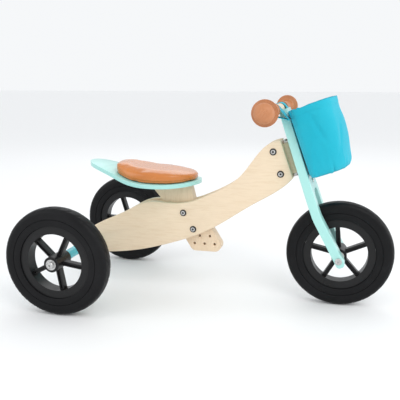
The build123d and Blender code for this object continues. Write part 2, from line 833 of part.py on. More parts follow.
def save_fork():
    save("fork_board", steering * fork_board())
    save("upper_bracket", steering * bracket(1))
    save("lower_bracket", steering * bracket(-1))
    save("steering_pin", steering * steering_pin())
    save("steering_nut", steering * steering_nut())
    save("bracket_screws", steering * bracket_screws())
    save("front_axle_bolt", steering * front_axle_bolt())
    cap = cap_head(fork_half_width, fork_half_width + fork_cap_length, axle_forward, -axle_down)
    save("front_axle_cap", steering * cap)
    save("front_spacers", steering * front_spacers())
    save("axle_lock_screws", steering * Compound([lock_screw(-1), lock_screw(1)]))
    save("handlebar_dowel", steering * handlebar())
    save("handlebar_screws", steering * bar_screws())
    save("grip_left", steering * grip())
    save("grip_right", steering * mirrored(grip()))
    save("bag", steering * bag())
    save("bag_strap_left", steering * strap(1))
    save("bag_strap_right", steering * strap(-1))


def seat_post():
    post = across(post_outline(), post_thickness / 2)
    under = across(band(seat_curve(), 0, seat_half_width), post_thickness)
    post -= under
    for row in range(hole_rows):
        for column in (-1, 0, 1):
            x, z = post_hole(row, column)
            post -= rod_y(post_hole_radius, -post_thickness, post_thickness, x, z)
    curve = seat_curve()
    for x in seat_screw_places():
        top = seat_surface_height(curve, x) + shell_thickness
        post -= rod_z(screw_radius, top - seat_screw_length, top, x)
    return post


def seat_screws():
    """Countersunk wood screws down through the shell into the post."""
    screws = []
    curve = seat_curve()
    for x in seat_screw_places():
        top = seat_surface_height(curve, x) + shell_thickness
        screws.append(rod_z(screw_radius, top - seat_screw_length, top - seat_screw_sunk, x))
    return Compound(screws)


def seat_surface_height(curve, x):
    """Height of the seat's underside at a place along X."""
    low, high = 0.0, 1.0
    for _ in range(halving_steps):
        middle = (low + high) / 2
        if (curve @ middle).X < x:
            low = middle
        else:
            high = middle
    return (curve @ low).Y


def save_seat():
    save("seat_post", seat_post())
    save("seat_shell", seat_shell())
    save("seat_screws", seat_screws())
    save("seat_cushion", seat_cushion())
    save("cushion_board", cushion_board())


def main():
    os.makedirs("parts", exist_ok=True)
    save_wheel("rear_right", rear_axle_x, -wheel_y, spoke_turn_rear_right)
    save_wheel("rear_left", rear_axle_x, wheel_y, spoke_turn_rear_left)
    save_wheel("front", front_axle_x, 0, spoke_turn_front)
    save_rear_axle()
    save_frame()
    save_fork()
    save_seat()


main()
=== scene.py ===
import bpy
import json
from math import asin, atan2, cos, exp, hypot, pi, radians, sin
from mathutils import Matrix, Vector, noise


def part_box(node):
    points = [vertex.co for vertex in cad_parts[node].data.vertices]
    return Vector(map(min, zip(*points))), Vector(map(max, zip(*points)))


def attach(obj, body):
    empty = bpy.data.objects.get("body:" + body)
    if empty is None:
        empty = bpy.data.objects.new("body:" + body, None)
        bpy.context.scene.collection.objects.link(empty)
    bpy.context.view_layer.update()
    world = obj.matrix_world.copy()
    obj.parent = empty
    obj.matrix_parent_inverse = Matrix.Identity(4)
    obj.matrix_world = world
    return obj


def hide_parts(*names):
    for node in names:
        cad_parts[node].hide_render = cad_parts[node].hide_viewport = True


# Children's tricycle with a plywood frame, foam tyres, a padded seat and a hanging bag.
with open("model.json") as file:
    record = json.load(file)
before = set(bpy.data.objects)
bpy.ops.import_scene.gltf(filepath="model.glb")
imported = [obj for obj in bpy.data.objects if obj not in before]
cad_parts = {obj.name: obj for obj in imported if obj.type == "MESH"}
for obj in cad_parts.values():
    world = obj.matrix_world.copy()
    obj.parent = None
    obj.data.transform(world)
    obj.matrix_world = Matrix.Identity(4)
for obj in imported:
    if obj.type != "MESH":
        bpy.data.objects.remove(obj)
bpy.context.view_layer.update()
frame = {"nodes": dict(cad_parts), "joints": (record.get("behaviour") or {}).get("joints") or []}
nodes = frame["nodes"]
print("frame loaded:", len(nodes), "nodes")


# ---- material helpers

def startMaterial(name, colour, roughness, metallic=0.0, coat=0.0, coatRoughness=0.1, sheen=0.0,
                  specular=0.5):
    mat = bpy.data.materials.new(name)
    mat.use_nodes = True
    shader = mat.node_tree.nodes["Principled BSDF"]
    shader.inputs["Base Color"].default_value = (*colour, 1)
    shader.inputs["Roughness"].default_value = roughness
    shader.inputs["Metallic"].default_value = metallic
    shader.inputs["Coat Weight"].default_value = coat
    shader.inputs["Coat Roughness"].default_value = coatRoughness
    shader.inputs["Sheen Weight"].default_value = sheen
    shader.inputs["Specular IOR Level"].default_value = specular
    mat.diffuse_color = (*colour, 1)
    return mat


def addNode(mat, kind, **values):
    node = mat.node_tree.nodes.new(kind)
    for key, value in values.items():
        setattr(node, key, value)
    return node


def join(mat, fromSocket, toSocket):
    mat.node_tree.links.new(fromSocket, toSocket)


def objectPattern(mat, scale, turn=(0, 0, 0)):
    coords = addNode(mat, "ShaderNodeTexCoord")
    mapping = addNode(mat, "ShaderNodeMapping")
    mapping.inputs["Scale"].default_value = scale
    mapping.inputs["Rotation"].default_value = turn
    join(mat, coords.outputs["Object"], mapping.inputs["Vector"])
    return mapping.outputs["Vector"]


def noiseField(mat, vector, scale, detail=3.0, rough=0.55, distortion=0.0):
    field = addNode(mat, "ShaderNodeTexNoise")
    field.inputs["Scale"].default_value = scale
    field.inputs["Detail"].default_value = detail
    field.inputs["Roughness"].default_value = rough
    field.inputs["Distortion"].default_value = distortion
    join(mat, vector, field.inputs["Vector"])
    return field.outputs["Fac"]


def ramp(mat, fac, stops):
    node = addNode(mat, "ShaderNodeValToRGB")
    element = node.color_ramp.elements
    while len(element) < len(stops):
        element.new(0.5)
    for item, (place, colour) in zip(element, stops):
        item.position = place
        item.color = (*colour, 1) if len(colour) == 3 else colour
    join(mat, fac, node.inputs["Fac"])
    return node.outputs["Color"]


def mapRange(mat, value, low, high, toLow, toHigh):
    node = addNode(mat, "ShaderNodeMapRange")
    join(mat, value, node.inputs["Value"])
    for key, number in (("From Min", low), ("From Max", high), ("To Min", toLow), ("To Max", toHigh)):
        node.inputs[key].default_value = number
    return node.outputs["Result"]


def blendColours(mat, fac, first, second, mode="MIX"):
    node = addNode(mat, "ShaderNodeMix", data_type="RGBA", blend_type=mode)
    for label, value in (("Factor", fac), ("A", first), ("B", second)):
        socket = node.inputs[label]
        if isinstance(value, (int, float)):
            socket.default_value = value
        elif isinstance(value, tuple):
            socket.default_value = (*value, 1)
        else:
            join(mat, value, socket)
    return node.outputs["Result"]


def maths(mat, operation, first, second=0.0):
    node = addNode(mat, "ShaderNodeMath", operation=operation)
    for socket, value in zip(node.inputs, (first, second)):
        if isinstance(value, (int, float)):
            socket.default_value = value
        else:
            join(mat, value, socket)
    return node.outputs["Value"]


def bump(mat, height, distance, strength=1.0, after=None):
    node = addNode(mat, "ShaderNodeBump")
    node.inputs["Distance"].default_value = distance
    node.inputs["Strength"].default_value = strength
    join(mat, height, node.inputs["Height"])
    if after is not None:
        join(mat, after, node.inputs["Normal"])
    return node.outputs["Normal"]


def shaderOf(mat):
    return mat.node_tree.nodes["Principled BSDF"]


# ---- materials

woodLook = {"light": (0.83, 0.68, 0.50), "dark": (0.79, 0.625, 0.435), "glueLine": (0.62, 0.44, 0.27),
            "ply": 0.0017}


def plywood(name, plyAxis, grain, light, dark, edgeShow=0.55):
    # long-grain veneer on the faces; thin alternating plies on the cut edges
    mat = startMaterial(name, light, 0.46, coat=0.12, coatRoughness=0.3, specular=0.35)
    vector = objectPattern(mat, grain)
    figure = noiseField(mat, vector, 26, 5, 0.62, 0.6)
    fibre = noiseField(mat, vector, 190, 3, 0.6)
    broad = noiseField(mat, objectPattern(mat, (1, 1, 1)), 5.5, 2, 0.5)
    veneer = ramp(mat, figure, [(0.33, dark), (0.5, light), (0.72, tuple(min(1, c * 1.04) for c in light))])
    veneer = blendColours(mat, mapRange(mat, broad, 0.35, 0.7, 0.0, 0.16), veneer, dark)
    veneer = blendColours(mat, mapRange(mat, fibre, 0.45, 0.75, 0.0, 0.09), veneer, woodLook["glueLine"])
    coords = addNode(mat, "ShaderNodeTexCoord")
    split = addNode(mat, "ShaderNodeSeparateXYZ")
    join(mat, coords.outputs["Object"], split.inputs["Vector"])
    facing = addNode(mat, "ShaderNodeSeparateXYZ")
    join(mat, coords.outputs["Normal"], facing.inputs["Vector"])
    layer = maths(mat, "SINE", maths(mat, "MULTIPLY", split.outputs[plyAxis], pi / woodLook["ply"]))
    plies = [(0.30, tuple(c * 0.86 for c in dark)), (0.55, light)]
    stripes = ramp(mat, mapRange(mat, layer, -1, 1, 0, 1), plies)
    onEdge = mapRange(mat, maths(mat, "ABSOLUTE", facing.outputs[plyAxis]), 0.55, 0.8, edgeShow, 0.0)
    colour = blendColours(mat, onEdge, veneer, stripes)
    join(mat, colour, shaderOf(mat).inputs["Base Color"])
    join(mat, mapRange(mat, figure, 0.3, 0.75, 0.36, 0.5), shaderOf(mat).inputs["Roughness"])
    join(mat, bump(mat, fibre, 0.00012, 0.5), shaderOf(mat).inputs["Normal"])
    return mat


def paintedWood(name, colour, under):
    # sprayed paint over wood: faint orange peel, slight wear in tone, a little grain telegraphing through
    mat = startMaterial(name, colour, 0.34, coat=0.3, coatRoughness=0.18)
    vector = objectPattern(mat, (1, 1, 1))
    cloud = noiseField(mat, vector, 9, 3, 0.5)
    peel = noiseField(mat, vector, 320, 2, 0.5)
    grain = noiseField(mat, objectPattern(mat, (6, 60, 6), (0, radians(20), 0)), 14, 4, 0.6)
    tone = blendColours(mat, mapRange(mat, cloud, 0.35, 0.7, 0.0, 0.3), colour, under)
    tone = blendColours(mat, mapRange(mat, grain, 0.5, 0.8, 0.0, 0.14), tone, under)
    join(mat, tone, shaderOf(mat).inputs["Base Color"])
    join(mat, mapRange(mat, cloud, 0.3, 0.7, 0.28, 0.42), shaderOf(mat).inputs["Roughness"])
    first = bump(mat, peel, 0.00006, 0.5)
    join(mat, bump(mat, grain, 0.00010, 0.35, first), shaderOf(mat).inputs["Normal"])
    return mat


def foamRubber():
    mat = startMaterial("tyreFoam", (0.006, 0.006, 0.007), 0.44, specular=0.16)
    vector = objectPattern(mat, (1, 1, 1))
    cells = noiseField(mat, vector, 900, 2, 0.6)
    scuff = noiseField(mat, vector, 34, 5, 0.7, 0.4)
    dust = noiseField(mat, vector, 7, 3, 0.6)
    stops = [(0.35, (0.0045, 0.0045, 0.0052)), (0.6, (0.0065, 0.0066, 0.0074)),
             (0.82, (0.013, 0.0132, 0.0145))]
    tone = ramp(mat, scuff, stops)
    tone = blendColours(mat, mapRange(mat, dust, 0.45, 0.75, 0.0, 0.15), tone, (0.022, 0.022, 0.024))
    join(mat, tone, shaderOf(mat).inputs["Base Color"])
    join(mat, mapRange(mat, scuff, 0.3, 0.8, 0.36, 0.58), shaderOf(mat).inputs["Roughness"])
    first = bump(mat, cells, 0.00012, 0.6)
    join(mat, bump(mat, scuff, 0.0004, 0.35, first), shaderOf(mat).inputs["Normal"])
    return mat


def mouldedPlastic(name, colour, roughness, lift):
    mat = startMaterial(name, colour, roughness, specular=0.28)
    vector = objectPattern(mat, (1, 1, 1))
    grain = noiseField(mat, vector, 700, 2, 0.6)
    cloud = noiseField(mat, vector, 20, 4, 0.6)
    tone = blendColours(mat, mapRange(mat, cloud, 0.4, 0.75, 0.0, 0.5), colour, lift)
    join(mat, tone, shaderOf(mat).inputs["Base Color"])
    gloss = mapRange(mat, cloud, 0.3, 0.7, roughness - 0.07, roughness + 0.1)
    join(mat, gloss, shaderOf(mat).inputs["Roughness"])
    join(mat, bump(mat, grain, 0.00008, 0.5), shaderOf(mat).inputs["Normal"])
    return mat


def platedSteel():
    mat = startMaterial("zincPlate", (0.60, 0.60, 0.59), 0.3, metallic=1.0)
    vector = objectPattern(mat, (1, 1, 1))
    spangle = noiseField(mat, vector, 260, 3, 0.6)
    brushed = noiseField(mat, objectPattern(mat, (1, 12, 1)), 120, 3, 0.6)
    tone = ramp(mat, spangle, [(0.3, (0.40, 0.40, 0.395)), (0.7, (0.70, 0.70, 0.69))])
    join(mat, tone, shaderOf(mat).inputs["Base Color"])
    join(mat, mapRange(mat, spangle, 0.3, 0.7, 0.22, 0.42), shaderOf(mat).inputs["Roughness"])
    join(mat, bump(mat, brushed, 0.00004, 0.4), shaderOf(mat).inputs["Normal"])
    return mat


def gripRubber():
    mat = startMaterial("gripBrown", (0.48, 0.19, 0.078), 0.44, coat=0.10, coatRoughness=0.3, specular=0.4)
    vector = objectPattern(mat, (1, 1, 1))
    fine = noiseField(mat, vector, 520, 3, 0.6)
    cloud = noiseField(mat, vector, 26, 4, 0.6)
    stops = [(0.32, (0.40, 0.150, 0.056)), (0.52, (0.48, 0.190, 0.078)), (0.78, (0.56, 0.24, 0.11))]
    tone = ramp(mat, cloud, stops)
    join(mat, tone, shaderOf(mat).inputs["Base Color"])
    join(mat, mapRange(mat, cloud, 0.3, 0.75, 0.38, 0.56), shaderOf(mat).inputs["Roughness"])
    join(mat, bump(mat, fine, 0.00010, 0.5), shaderOf(mat).inputs["Normal"])
    return mat


def seatLeather():
    mat = startMaterial("seatLeather", (0.60, 0.20, 0.04), 0.3, coat=0.45, coatRoughness=0.14, specular=0.35)
    vector = objectPattern(mat, (1, 1, 1))
    cells = addNode(mat, "ShaderNodeTexVoronoi", feature="DISTANCE_TO_EDGE")
    cells.inputs["Scale"].default_value = 620
    cells.inputs["Randomness"].default_value = 1.0
    join(mat, vector, cells.inputs["Vector"])
    creases = mapRange(mat, cells.outputs["Distance"], 0.0, 0.18, 0.0, 1.0)
    cloud = noiseField(mat, vector, 15, 4, 0.55)
    pores = noiseField(mat, vector, 900, 2, 0.6)
    stops = [(0.3, (0.55, 0.175, 0.032)), (0.52, (0.60, 0.20, 0.040)), (0.8, (0.65, 0.235, 0.056))]
    tone = ramp(mat, cloud, stops)
    tone = blendColours(mat, mapRange(mat, creases, 0.0, 1.0, 0.12, 0.0), tone, (0.30, 0.07, 0.012))
    join(mat, tone, shaderOf(mat).inputs["Base Color"])
    join(mat, mapRange(mat, cloud, 0.3, 0.7, 0.2, 0.34), shaderOf(mat).inputs["Roughness"])
    first = bump(mat, creases, 0.00006, 0.3)
    join(mat, bump(mat, pores, 0.00005, 0.3, first), shaderOf(mat).inputs["Normal"])
    return mat


clothLook = {"colour": (0.008, 0.45, 0.60), "thread": (0.03, 0.54, 0.68), "deep": (0.002, 0.36, 0.50),
             "threadPitch": 0.0009}


def bagCanvas(name="bagCanvas"):
    # plain weave read from the cloth's own flat layout, in metres
    mat = startMaterial(name, clothLook["colour"], 0.78, sheen=0.12, specular=0.28)
    uv = addNode(mat, "ShaderNodeUVMap", uv_map="cloth")
    split = addNode(mat, "ShaderNodeSeparateXYZ")
    join(mat, uv.outputs["UV"], split.inputs["Vector"])
    turns = 2 * pi / clothLook["threadPitch"]
    across = maths(mat, "SINE", maths(mat, "MULTIPLY", split.outputs["X"], turns))
    along = maths(mat, "SINE", maths(mat, "MULTIPLY", split.outputs["Y"], turns))
    weave = maths(mat, "MULTIPLY", across, along)
    vector = objectPattern(mat, (1, 1, 1))
    slub = noiseField(mat, vector, 130, 4, 0.65)
    cloud = noiseField(mat, vector, 12, 3, 0.5)
    fading = mapRange(mat, cloud, 0.3, 0.75, 0.0, 0.55)
    tone = blendColours(mat, fading, clothLook["colour"], clothLook["thread"])
    tone = blendColours(mat, mapRange(mat, weave, -1, 1, 0.22, 0.0), tone, clothLook["deep"])
    tone = blendColours(mat, mapRange(mat, slub, 0.45, 0.75, 0.0, 0.22), tone, clothLook["thread"])
    join(mat, tone, shaderOf(mat).inputs["Base Color"])
    join(mat, mapRange(mat, slub, 0.3, 0.7, 0.74, 0.9), shaderOf(mat).inputs["Roughness"])
    first = bump(mat, weave, 0.00016, 0.6)
    join(mat, bump(mat, slub, 0.0004, 0.35, first), shaderOf(mat).inputs["Normal"])
    return mat


looks = {
    "birch": plywood("birchFrame", "Y", (1.0, 9.0, 9.0), woodLook["light"], woodLook["dark"]),
    "post": plywood("birchPost", "Y", (9.0, 9.0, 1.0), (0.80, 0.635, 0.455), (0.735, 0.565, 0.39)),
    "dowel": plywood("birchDowel", "Z", (9.0, 1.0, 9.0), (0.84, 0.70, 0.53), (0.76, 0.60, 0.43), 0.0),
    "mint": paintedWood("mintPaint", (0.40, 0.75, 0.705), (0.345, 0.69, 0.65)),
    "turquoise": paintedWood("turquoisePaint", (0.055, 0.56, 0.66), (0.04, 0.47, 0.57)),
    "tyre": foamRubber(),
    "black": mouldedPlastic("blackPlastic", (0.0065, 0.0065, 0.007), 0.34, (0.013, 0.013, 0.014)),
    "nylon": mouldedPlastic("paleNylon", (0.52, 0.52, 0.50), 0.42, (0.60, 0.60, 0.58)),
    "zinc": platedSteel(),
    "grip": gripRubber(),
    # near-black used as painted shade in bolt sockets and on the heads' outer bands, and as the painted shadow
    # disc under each head
    "paintedShadeBlack": mouldedPlastic("paintedShadeBlack", (0.022, 0.021, 0.020), 0.38, (0.05, 0.05, 0.048)),
    "leather": seatLeather(),
    "canvas": bagCanvas(),
}


def dress(look, *names):
    for name in names:
        slots = nodes[name].data.materials
        slots.clear()
        slots.append(looks[look])


wheels = ("rear_right", "rear_left", "front")
dress("black", *[wheel + "_rim" for wheel in wheels])
dress("nylon", "front_spacers")
dress("black", *[wheel + "_hub_bushes" for wheel in wheels])
dress("tyre", *[wheel + "_tyre" for wheel in wheels])
dress("turquoise", "rear_axle_beam")
dress("birch", "frame_panel_left", "frame_panel_right", "head_block", "cushion_board")
dress("post", "seat_post")
dress("dowel", "handlebar_dowel")
dress("mint", "fork_board", "seat_shell")
dress("grip", "grip_left", "grip_right")
dress("leather", "seat_cushion")
dress("zinc", "rear_axle_rod", "rear_inner_washers", "rear_outer_washers", "rear_axle_caps", "beam_screws",
      "head_bolts", "head_nuts", "post_bolts", "post_nuts", "steering_pin", "steering_nut", "upper_bracket",
      "lower_bracket", "bracket_screws", "front_axle_bolt", "front_axle_cap", "axle_lock_screws",
      "handlebar_screws", "seat_screws", "steering_sleeve")
print("materials: done")


# ---- modelling helpers

def pickOnly(thing):
    if bpy.context.object and bpy.context.object.mode != "OBJECT":
        bpy.ops.object.mode_set(mode="OBJECT")
    bpy.ops.object.select_all(action="DESELECT")
    thing.select_set(True)
    bpy.context.view_layer.objects.active = thing


def applyModifier(thing, kind, name, **values):
    pickOnly(thing)
    modifier = thing.modifiers.new(name, kind)
    for key, value in values.items():
        setattr(modifier, key, value)
    bpy.ops.object.modifier_apply(modifier=name)


def editAll(thing):
    pickOnly(thing)
    bpy.ops.object.mode_set(mode="EDIT")
    bpy.ops.mesh.select_all(action="SELECT")


def leaveEdit():
    bpy.ops.object.mode_set(mode="OBJECT")


def softCopy(name, newName, edge, segments=3, angle=38, look=None):
    # the node's own shape, its edges sanded round
    piece = nodes[name].copy()
    piece.data = nodes[name].data.copy()
    piece.name = newName
    piece.parent = None
    for key in list(piece.keys()):
        del piece[key]
    bpy.context.scene.collection.objects.link(piece)
    editAll(piece)
    bpy.ops.mesh.remove_doubles(threshold=0.00002)
    bpy.ops.mesh.normals_make_consistent(inside=False)
    bpy.ops.mesh.dissolve_limited(angle_limit=radians(0.6))
    leaveEdit()
    applyModifier(piece, "BEVEL", "edges", width=edge, segments=segments, limit_method="ANGLE",
                  angle_limit=radians(angle), use_clamp_overlap=True, harden_normals=False)
    pickOnly(piece)
    bpy.ops.object.shade_smooth_by_angle(angle=radians(42))
    if look:
        piece.data.materials.clear()
        piece.data.materials.append(looks[look])
    return piece


def standsFor(piece, body, slot, *names):
    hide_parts(*names)
    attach(piece, body)


# ---- camera, light and floor

cameraPlace = {"azimuth": 14.2, "elevation": 12.6, "distance": 1.3965, "target": (-0.020, 0.0, 0.194),
               "lens": 53.0, "shiftX": -0.012, "shiftY": 0.034}
floorLook = {"colour": (0.93, 0.935, 0.94), "size": 60.0}
lampLook = {"key": 20, "fill": 12, "front": 14, "rim": 7, "sky": 0.95}


def aimedAt(place, target):
    return (Vector(target) - Vector(place)).to_track_quat("-Z", "Y").to_euler()


def softLamp(name, place, target, power, size, colour=(1, 1, 1)):
    data = bpy.data.lights.new(name, "AREA")
    data.shape = "DISK"
    data.size = size
    data.energy = power
    data.color = colour
    lamp = bpy.data.objects.new(name, data)
    lamp.location = place
    lamp.rotation_euler = aimedAt(place, target)
    bpy.context.scene.collection.objects.link(lamp)


def makeStudio():
    a, e = radians(cameraPlace["azimuth"]), radians(cameraPlace["elevation"])
    target = Vector(cameraPlace["target"])
    back = Vector((sin(a) * cos(e), -cos(a) * cos(e), sin(e)))
    data = bpy.data.cameras.new("studioCamera")
    data.lens = cameraPlace["lens"]
    data.sensor_width = 36
    data.shift_x = cameraPlace["shiftX"]
    data.shift_y = cameraPlace["shiftY"]
    data.clip_start, data.clip_end = 0.05, 50
    camera = bpy.data.objects.new("studioCamera", data)
    camera.location = target + back * cameraPlace["distance"]
    camera.rotation_euler = aimedAt(camera.location, target)
    bpy.context.scene.collection.objects.link(camera)
    bpy.context.scene.camera = camera

    world = bpy.data.worlds.new("studioSky")
    bpy.context.scene.world = world
    world.use_nodes = True
    world.node_tree.nodes["Background"].inputs["Color"].default_value = (0.97, 0.985, 1.0, 1)
    world.node_tree.nodes["Background"].inputs["Strength"].default_value = lampLook["sky"]
    softLamp("keyLamp", (1.5, -1.7, 2.1), (0, 0, 0.2), lampLook["key"], 1.6, (1.0, 0.99, 0.97))
    softLamp("fillLamp", (-2.2, -1.7, 1.3), (0, 0, 0.2), lampLook["fill"], 2.0, (0.98, 0.99, 1.0))
    softLamp("frontLamp", (2.6, 0.4, 1.0), (0.1, 0, 0.3), lampLook["front"], 1.5)
    softLamp("rimLamp", (-0.6, 2.4, 2.0), (0, 0, 0.2), lampLook["rim"], 1.8)

    bpy.ops.object.select_all(action="DESELECT")
    bpy.ops.mesh.primitive_plane_add(size=floorLook["size"], location=(0, 0, 0))
    floor = bpy.context.object
    floor.name = "studioFloor"
    mat = startMaterial("studioPaper", floorLook["colour"], 0.6, specular=0.2)
    floor.data.materials.append(mat)


makeStudio()
bpy.context.scene.view_settings.view_transform = "Standard"
print("studio: done")


# ---- tyres: spun foam with a moulded seam line and short slanted tread cuts on the shoulders

tyreShape = {"radius": 0.120, "inner": 0.0803, "halfWidth": 0.019, "seam": 0.0955, "seamDepth": 0.0011,
             "seamHalf": 0.0009, "shoulder": 0.0115, "steps": 288, "nickEvery": 9, "nickDepth": 0.0012}


def tyreProfile():
    s = tyreShape
    side = [(s["inner"], s["halfWidth"] - 0.0012), (s["inner"] + 0.0006, s["halfWidth"] - 0.0004),
            (s["inner"] + 0.0016, s["halfWidth"])]
    for r in (s["seam"] - 0.006, s["seam"] - s["seamHalf"] - 0.0004, s["seam"] - s["seamHalf"]):
        side.append((r, s["halfWidth"]))
    side += [(s["seam"] - 0.0004, s["halfWidth"] - s["seamDepth"]),
             (s["seam"] + 0.0004, s["halfWidth"] - s["seamDepth"]),
             (s["seam"] + s["seamHalf"], s["halfWidth"] - 0.0001),
             (s["seam"] + s["seamHalf"] + 0.0005, s["halfWidth"])]
    bend = s["shoulder"]
    centre = (s["radius"] - bend - 0.0010, s["halfWidth"] - bend)
    for k in range(0, 10):
        t = radians(90 - 10 * k)
        side.append((centre[0] + bend * cos(t), centre[1] + bend * sin(t)))
    crown = [(s["radius"] - 0.0003, centre[1] * 0.55), (s["radius"], 0.0)]
    half = side + crown
    return half + [(r, -w) for r, w in reversed(half[:-1])]


def spunPiece(name, profile, axis, centre, steps, closed):
    # profile is (radius, station along the axis); spun about the axis through centre
    mesh = bpy.data.meshes.new(name)
    up = Vector((0, 0, 1)) if abs(axis.z) < 0.9 else Vector((1, 0, 0))
    side = (up - axis * up.dot(axis)).normalized()
    points = [centre + side * r + axis * w for r, w in profile]
    edges = [(i, i + 1) for i in range(len(points) - 1)]
    if closed:
        edges.append((len(points) - 1, 0))
    mesh.from_pydata(points, edges, [])
    piece = bpy.data.objects.new(name, mesh)
    bpy.context.scene.collection.objects.link(piece)
    editAll(piece)
    bpy.ops.mesh.spin(steps=steps, dupli=False, angle=2 * pi, center=centre, axis=axis)
    bpy.ops.mesh.select_all(action="SELECT")
    bpy.ops.mesh.remove_doubles(threshold=0.00003)
    bpy.ops.mesh.normals_make_consistent(inside=False)
    leaveEdit()
    pickOnly(piece)
    bpy.ops.object.shade_smooth_by_angle(angle=radians(40))
    return piece


def centreOf(name):
    low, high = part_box(name)
    return (Vector(low) + Vector(high)) / 2


def cutNicks(tyre):
    # short slanted tread cuts across each shoulder
    s = tyreShape
    turnStep = 2 * pi / s["steps"] * s["nickEvery"]
    for vert in tyre.data.vertices:
        radius = hypot(vert.co.x, vert.co.z)
        side = abs(vert.co.y)
        if radius < 0.111 or side < 0.0035:
            continue
        along = (atan2(vert.co.z, vert.co.x) + side * 9.0 * (1 if vert.co.y > 0 else -1)) / turnStep
        gap = abs(along - round(along)) * s["nickEvery"]
        depth = s["nickDepth"] * max(0.0, 1 - gap / 0.9)
        vert.co.x *= 1 - depth / radius
        vert.co.z *= 1 - depth / radius


def makeTyres():
    axle, middle = Vector((0, 1, 0)), Vector((0, 0, 0))
    first = spunPiece("frontTyreFoam", tyreProfile(), axle, middle, tyreShape["steps"], True)
    cutNicks(first)
    first.data.materials.append(looks["tyre"])
    tyreNames = {"front": "frontTyreFoam", "rear_left": "rearLeftTyreFoam", "rear_right": "rearRightTyreFoam"}
    for wheel, pieceName in tyreNames.items():
        tyre = first
        if wheel != "front":
            tyre = first.copy()
            tyre.data = plain.copy()
            tyre.name = pieceName
            bpy.context.scene.collection.objects.link(tyre)
        else:
            plain = first.data.copy()
        tyre.data.transform(Matrix.Translation(centreOf(wheel + "_tyre")))
        standsFor(tyre, wheel + "_wheel", "tyre", wheel + "_tyre")


makeTyres()
print("tyres: done")


# ---- timber with sanded edges

def makeTimber():
    for name, newName, edge, look, slot in (
            ("frame_panel_left", "panelLeftTimber", 0.0009, "birch", "birch"),
            ("frame_panel_right", "panelRightTimber", 0.0009, "birch", "birch"),
            ("seat_post", "postTimber", 0.0016, "post", "birch"),
            ("seat_shell", "seatShellPly", 0.0026, "mint", "mint_paint")):
        piece = softCopy(name, newName, edge, look=look)
        standsFor(piece, "frame", slot, name)
    piece = softCopy("fork_board", "forkBoardTimber", 0.0018, look="mint")
    standsFor(piece, "steering", "mint_paint", "fork_board")


makeTimber()
print("timber: done")


# ---- steering frame: points given forward and up from the head, as in the CAD

hinge = [joint for joint in frame["joints"] if joint["name"] == "steering"][0]
headPoint = Vector(hinge["pos_m"])
upAxis = Vector(hinge["axis"]).normalized()
forwardAxis = Vector((upAxis.z, 0, -upAxis.x))


def steered(forward, side, up):
    return headPoint + forwardAxis * forward + upAxis * up + Vector((0, side, 0))


# ---- grips: tapered sleeve, stepped cap and a ribbed dome

gripShape = {"inner": 0.074, "innerRadius": 0.0155, "neckRadius": 0.0120, "neckAt": 0.166, "capStart": 0.189,
             "capRadius": 0.0265, "end": 0.213, "hole": 0.0112, "barForward": 0.0075, "barUp": 0.128,
             "ribDepth": 0.0011, "steps": 96,
             "ring": ((0.0, 0.0006), (0.0, 0.0017), (0.0005, 0.0022), (0.0015, 0.0024), (0.0036, 0.0024),
                      (0.0036, 0.0030), (0.0025, 0.0031))}


def gripProfile():
    g = gripShape
    collar = ((-0.0012, 0.0), (-0.0003, 0.0004), (0.0, 0.0014), (0.0, 0.0050), (-0.0004, 0.0056),
              (-0.0011, 0.0060))
    outline = [(g["hole"], g["inner"])]
    outline += [(g["innerRadius"] + out, g["inner"] + along) for out, along in collar]
    for k in range(1, 9):
        t = k / 8
        taper = g["innerRadius"] - 0.0011 + (g["neckRadius"] - g["innerRadius"] + 0.0011) * t
        outline.append((taper, g["inner"] + 0.006 + (g["neckAt"] - g["inner"] - 0.006) * t))
    station = g["capStart"] - 0.0012
    for k in range(1, 7):
        t = k / 6
        along = g["neckAt"] + (station - 0.0030 - g["neckAt"]) * t
        outline.append((g["neckRadius"] + 0.0030 * t ** 2.2, along))
    outline += [(g["neckRadius"] + 0.0052, station - 0.0013), (g["neckRadius"] + 0.0085, station - 0.0004),
                (g["capRadius"] - 0.0012, station), (g["capRadius"] - 0.0003, station + 0.0004)]
    radius = g["capRadius"]
    for ring in range(3):
        outline += [(radius - drop, station + along) for drop, along in g["ring"]]
        radius -= 0.0020
        station += 0.0030
    outline.append((radius, station + 0.0006))
    start = station + 0.0012
    rise = g["end"] - start
    for k in range(0, 29):
        t = k / 28 * pi / 2
        outline.append((radius * cos(t) if k < 28 else 0.0, start + rise * sin(t) ** 0.95))
    return outline


def ribbedDome(piece, side):
    g = gripShape
    centre = steered(g["barForward"], 0, g["barUp"])
    slant = (forwardAxis * 0.80 + upAxis * 0.60).normalized()
    cross = (upAxis * 0.80 - forwardAxis * 0.60).normalized()
    for vert in piece.data.vertices:
        station = abs(vert.co.y)
        if station < g["end"] - 0.0062:
            continue
        offset = vert.co - centre
        u, v = offset.dot(cross) * side, offset.dot(slant)
        inside = max(0.0, 1 - (u / 0.0135) ** 2 - (v / 0.0095) ** 2)
        if inside <= 0:
            continue
        wave = cos(u / 0.0056 * 2 * pi)
        push = -g["ribDepth"] * (0.5 - 0.5 * wave) * min(1.0, inside * 2.4)
        vert.co.y += push * (1 if vert.co.y > 0 else -1)


def makeGrips():
    centre = steered(gripShape["barForward"], 0, gripShape["barUp"])
    for name, node, side in (("gripRightRubber", "grip_right", -1), ("gripLeftRubber", "grip_left", 1)):
        piece = spunPiece(name, gripProfile(), Vector((0, side, 0)), centre, gripShape["steps"], False)
        ribbedDome(piece, side)
        piece.data.materials.append(looks["grip"])
        standsFor(piece, "steering", "grip_brown", node)


makeGrips()
print("grips: done")


# ---- seat cushion: blown up as a stuffed cover, each point's swell capped

cushionShape = {"voxel": 0.0042, "round": 14, "pressure": 3.6, "frames": 20, "cap": 0.0045, "settle": 9,
                "bin": 0.004, "flatNormal": 0.93, "seamUp": 0.0062, "seamHalf": 0.0011, "seamDepth": 0.0016}


